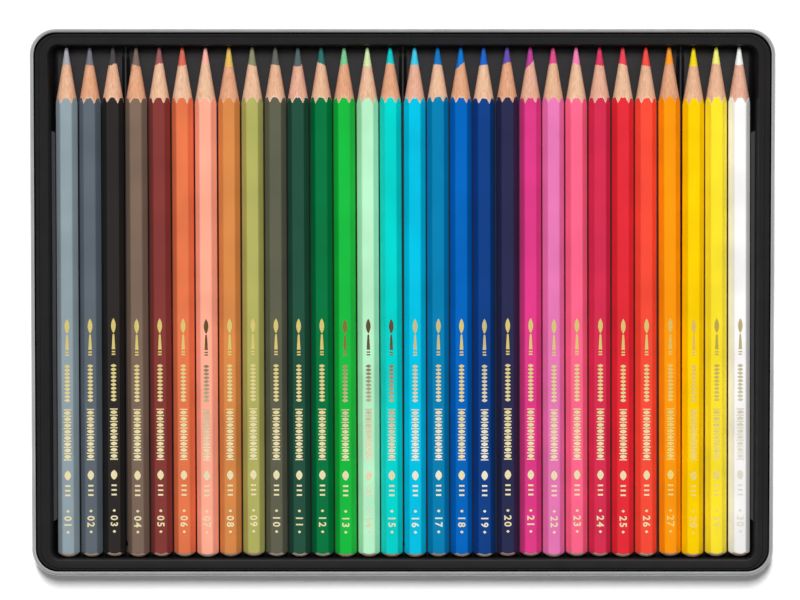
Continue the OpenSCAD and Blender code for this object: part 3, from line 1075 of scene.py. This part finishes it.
def cedar(name, color):
    """Sharpened wood: fibres, broader bands, pores, a fibrous cut, traces of white primer, and a
    pale painted light on the blunt end.
    """
    f = Finish(f"cedar_{name}", Specular_IOR_Level=0.3)
    tone = linear(color)
    grain = f.effect("Wood grain", grain_group)
    warm = (tone[0] * 0.84, tone[1] * 0.68, tone[2] * 0.6, 1.0)
    pale = (min(tone[0] * 1.1, 1), min(tone[1] * 1.2, 1), min(tone[2] * 1.3, 1), 1.0)
    primer = linear((0.97, 0.9, 0.84))
    fibre = f.blend(grain["Fibre"], (0.35, 0.65, 0, 1), warm, pale)
    banded = f.blend(grain["Band"], (0.35, 0.65, 0, 0.6), fibre, tone)
    cut = f.blend(grain["Pore"], (0, 1, 0, 0.5), banded, shaded(warm, 0.55))
    # Towards the primer's colour: real primer at the lacquer's edge, and painted light on the
    # blunt end
    f.feed("Base Color", f.blend(f.attribute("Primer"), (0, 1, 0, 0.8), cut, primer))
    f.feed("Roughness", grain["Band"], 0.3, 0.7, 0.55, 0.72)
    f.bump(grain["Fibre"], 0.4, 0.05 * MM)
    return f.material


def pigment(name, color):
    """The pressed core: waxy, slightly uneven in color, with marks of the blade."""
    f = Finish(f"pigment_{name}", Roughness=0.5)
    tone = linear(color)
    skin = f.effect("Surface texture", texture_group, Cells=3200.0)
    marks = f.effect("Handling", handling_group)
    uneven = f.blend(skin["Fine"], (0.3, 0.7, 0, 1), shaded(tone, 0.84), shaded(tone, 1.1))
    f.feed("Base Color", f.blend(marks["Scratch"], (0, 1, 0, 0.4), uneven, shaded(tone, 0.7)))
    f.feed("Roughness", skin["Swell"], 0.3, 0.7, 0.42, 0.62)
    f.bump(skin["Fine"], 0.3, 0.04 * MM)
    return f.material


def foil(name, near, far):
    """Stamped foil with a painted reflection: deeper at the ornament, paler to the blunt end, thin
    and dull in speckles.
    """
    f = Finish(f"foil_{name}", Metallic=0.45)
    paler_end, deeper_end = -50 * MM, -14 * MM
    skin = f.effect("Surface texture", texture_group, Cells=4200.0)
    along = add(f.tree, "ShaderNodeSeparateXYZ", {"Vector": f.place}).outputs["Y"]
    # Painted reflection: the tone runs from the ornament's color to the number's paler one
    tone = f.blend(along, (paler_end, deeper_end, 1, 0), linear(near), linear(far))
    thin = shaded(linear(near), 0.7)
    f.feed("Base Color", f.blend(skin["Fine"], (0.52, 0.7, 0, 0.4), tone, thin))
    f.feed("Roughness", skin["Fine"], 0.3, 0.7, 0.35, 0.55)
    f.bump(skin["Fine"], 0.2, 0.02 * MM)
    return f.material


def finish(name, make, *values):
    """A material made on first use."""
    return bpy.data.materials.get(name) or make(*values)


# Operators

class PENCILTIN_OT_row(bpy.types.Operator):
    """List the pencils of the row with their colors"""

    bl_idname = "pencil_tin.row"
    bl_label = "Row"

    def execute(self, context):
        row = settings().row
        row.clear()
        for (name, shell, core, foil_name, off), letter in zip(ROW, WOOD_ROW):
            look = row.add()
            look.name, look.node, look.body = name, f"pencil_{name}", f"{name}_pencil"
            look.lacquer = [c / 255 for c in shell]
            look.core = [c / 255 for c in core]
            look.foil, look.off_axis = foil_name, off * MM
            look.wood = next(kind for kind in WOODS if kind[0] == letter)
        return {"FINISHED"}


class PENCILTIN_OT_tin(bpy.types.Operator):
    """Build the pressed tin base"""

    bl_idname = "pencil_tin.tin"
    bl_label = "Tin base"

    def execute(self, context):
        s = settings().tin
        new_piece("pressed_tin", *tin_surface(s), "tin", "tinplate", ["tin_base"],
                  finish("rolled_tinplate", tinplate, s.color))
        return {"FINISHED"}


class PENCILTIN_OT_insert(bpy.types.Operator):
    """Build the formed insert"""

    bl_idname = "pencil_tin.insert"
    bl_label = "Insert"

    def execute(self, context):
        s = settings().insert
        points, faces, pale_and_highlight = insert_surface(s, settings().pencils, settings().tin.short)
        new_piece("formed_insert", points, faces, "insert", "black_plastic", ["insert_tray"],
                  finish("grained_plastic", black_plastic, s.color), Worn=pale_and_highlight)
        return {"FINISHED"}


def pencil_part(part, shape, material, covers=True):
    """Puts one part of every pencil in place.

    Shape gives a blank's points and faces, and the primer and painted end light on its points
    where it has any; material gives the finish for a look. A part that covers stands for the
    pencil's node.
    """
    for number, look in enumerate(settings().row, 1):
        points, faces, *primer = shape(Blank(settings().pencils, look, number))
        new_piece(f"{look.name}_{part}", points, faces, look.body, f"lacquer_{look.name}",
                  [look.node] if covers else [], material(look), **dict(zip(["Primer"], primer)))
    return {"FINISHED"}


class PENCILTIN_OT_casings(bpy.types.Operator):
    """Build the wooden casings of the pencils"""

    bl_idname = "pencil_tin.casings"
    bl_label = "Wooden casings"

    def execute(self, context):
        return pencil_part("wood", casing_surface, lambda look: finish(
            f"cedar_{look.wood}", cedar, look.wood, WOODS[look.wood]))


class PENCILTIN_OT_barrels(bpy.types.Operator):
    """Build the lacquered outsides of the pencils"""

    bl_idname = "pencil_tin.barrels"
    bl_label = "Lacquered barrels"

    def execute(self, context):
        return pencil_part("lacquer", sleeve_surface, lambda look: finish(
            f"glossy_{look.name}", lacquer, look.name, look.lacquer))


class PENCILTIN_OT_cores(bpy.types.Operator):
    """Build the colored cores of the pencils"""

    bl_idname = "pencil_tin.cores"
    bl_label = "Cores"

    def execute(self, context):
        return pencil_part("core", core_surface, lambda look: finish(
            f"pigment_{look.name}", pigment, look.name, look.core))


class PENCILTIN_OT_foil(bpy.types.Operator):
    """Stamp the foil ornament and the place number on each pencil"""

    bl_idname = "pencil_tin.foil"
    bl_label = "Stamped foil"

    def execute(self, context):
        p = settings().pencils
        digits = digit_surfaces(p.digit, p.foil)
        return pencil_part("foil", lambda b: foil_surface(b, digits), lambda look: finish(
            f"foil_{look.foil}", foil, look.foil, *FOILS[look.foil]), covers=False)


def seen_ray(tree):
    """One for rays that show the background to the camera, in metal or through glass."""
    path = add(tree, "ShaderNodeLightPath").outputs
    most = math_node(tree, "MAXIMUM", path["Is Camera Ray"], path["Is Glossy Ray"])
    return math_node(tree, "MAXIMUM", most, path["Is Transmission Ray"])


def stage_floor(s):
    """A wide flat floor with a color that reads as white where the camera sees it."""
    reach, low = 6.0, min(TIN_LOW[2], 0.0)
    mesh = bpy.data.meshes.new("floor")
    mesh.from_pydata([(x * reach, y * reach, low) for x, y in (
        (-1, -1), (1, -1), (1, 1), (-1, 1))], [], [(0, 1, 2, 3)])
    floor = bpy.data.objects.new("floor", mesh)
    bpy.context.scene.collection.objects.link(floor)
    f = Finish("pale_floor", Roughness=0.9, Specular_IOR_Level=0.0)
    seen = seen_ray(f.tree)
    f.feed("Base Color", mixed(f.tree, seen, linear(s.floor), WHITE))
    f.shader.inputs["Emission Color"].default_value = WHITE
    f.feed("Emission Strength", math_node(f.tree, "MULTIPLY", seen, s.lift))
    mesh.materials.append(f.material)


def stage_world(s):
    """A soft sky, brighter overhead, that shows the camera and metal a pale backdrop."""
    world = bpy.data.worlds.new("soft_sky")
    bpy.context.scene.world = world
    world.use_nodes = True
    tree = world.node_tree
    way = add(tree, "ShaderNodeSeparateXYZ", {
        "Vector": add(tree, "ShaderNodeTexCoord").outputs["Generated"]}).outputs
    up = way["Z"]
    light = ranged(tree, up, 0.0, 1.0, s.horizon, s.sky)
    backdrop = math_node(tree, "MULTIPLY", ranged(tree, up, 0.25, 0.95, 0.95, 0.7),
                         ranged(tree, way["Y"], -0.9, -0.3, 0.3, 1.0))
    strength = add(tree, "ShaderNodeMix", {
        0: seen_ray(tree), 2: light, 3: backdrop}, data_type="FLOAT").outputs[0]
    tree.nodes["Background"].inputs["Color"].default_value = WHITE
    tree.links.new(strength, tree.nodes["Background"].inputs["Strength"])


class PENCILTIN_OT_stage(bpy.types.Operator):
    """Set up the floor, the soft light and the camera"""

    bl_idname = "pencil_tin.stage"
    bl_label = "Stage"

    def execute(self, context):
        s = settings().stage
        scene = context.scene
        scene.view_settings.view_transform = "Standard"
        stage_floor(s)
        stage_world(s)
        lamp = bpy.data.lights.new("key", "AREA")
        lamp.shape, lamp.energy = "RECTANGLE", s.key
        lamp.size, lamp.size_y = s.key_size
        key = bpy.data.objects.new("key", lamp)
        key.location = s.key_place
        key.rotation_euler = (-key.location).to_track_quat("-Z", "Y").to_euler()
        key.visible_glossy = False
        scene.collection.objects.link(key)
        camera = bpy.data.cameras.new("camera")
        camera.lens, camera.sensor_width = s.lens, 36
        camera.clip_start, camera.clip_end = 0.01, 100
        view = bpy.data.objects.new("camera", camera)
        back = Vector((0, math.sin(s.tilt), math.cos(s.tilt)))
        view.location = Vector(s.aim) + back * s.distance
        view.rotation_euler = (-s.tilt, 0, 0)
        scene.collection.objects.link(view)
        scene.camera = view
        return {"FINISHED"}


OPERATORS = (
    PENCILTIN_OT_row, PENCILTIN_OT_tin, PENCILTIN_OT_insert, PENCILTIN_OT_casings,
    PENCILTIN_OT_barrels, PENCILTIN_OT_cores, PENCILTIN_OT_foil, PENCILTIN_OT_stage,
)


class PENCILTIN_PT_panel(bpy.types.Panel):
    """The tin's settings and its build steps in the sidebar"""

    bl_idname = "PENCILTIN_PT_panel"
    bl_label = "Pencil Tin"
    bl_space_type = "VIEW_3D"
    bl_region_type = "UI"
    bl_category = "Pencil Tin"

    def draw(self, context):
        s = context.scene.pencil_tin
        for label, holder in (
                ("Tin", s.tin), ("Insert", s.insert), ("Pencils", s.pencils), ("Stage", s.stage)):
            box = self.layout.box()
            box.label(text=label)
            for key in holder.bl_rna.properties.keys():
                if key not in ("rna_type", "name"):
                    box.prop(holder, key)
        for kind in OPERATORS:
            self.layout.operator(kind.bl_idname)


CLASSES = (
    TinSizes, InsertSizes, PencilSizes, PencilLook, StageSizes, TinSettings, *OPERATORS,
    PENCILTIN_PT_panel,
)


def register():
    for kind in CLASSES:
        bpy.utils.register_class(kind)
    bpy.types.Scene.pencil_tin = PointerProperty(type=TinSettings)


def unregister():
    del bpy.types.Scene.pencil_tin
    for kind in reversed(CLASSES):
        bpy.utils.unregister_class(kind)


def main():
    """Builds the tin step by step."""
    register()
    for kind in OPERATORS:
        group_name, step = kind.bl_idname.split(".")
        getattr(getattr(bpy.ops, group_name), step)()


if __name__ == "__main__":
    main()
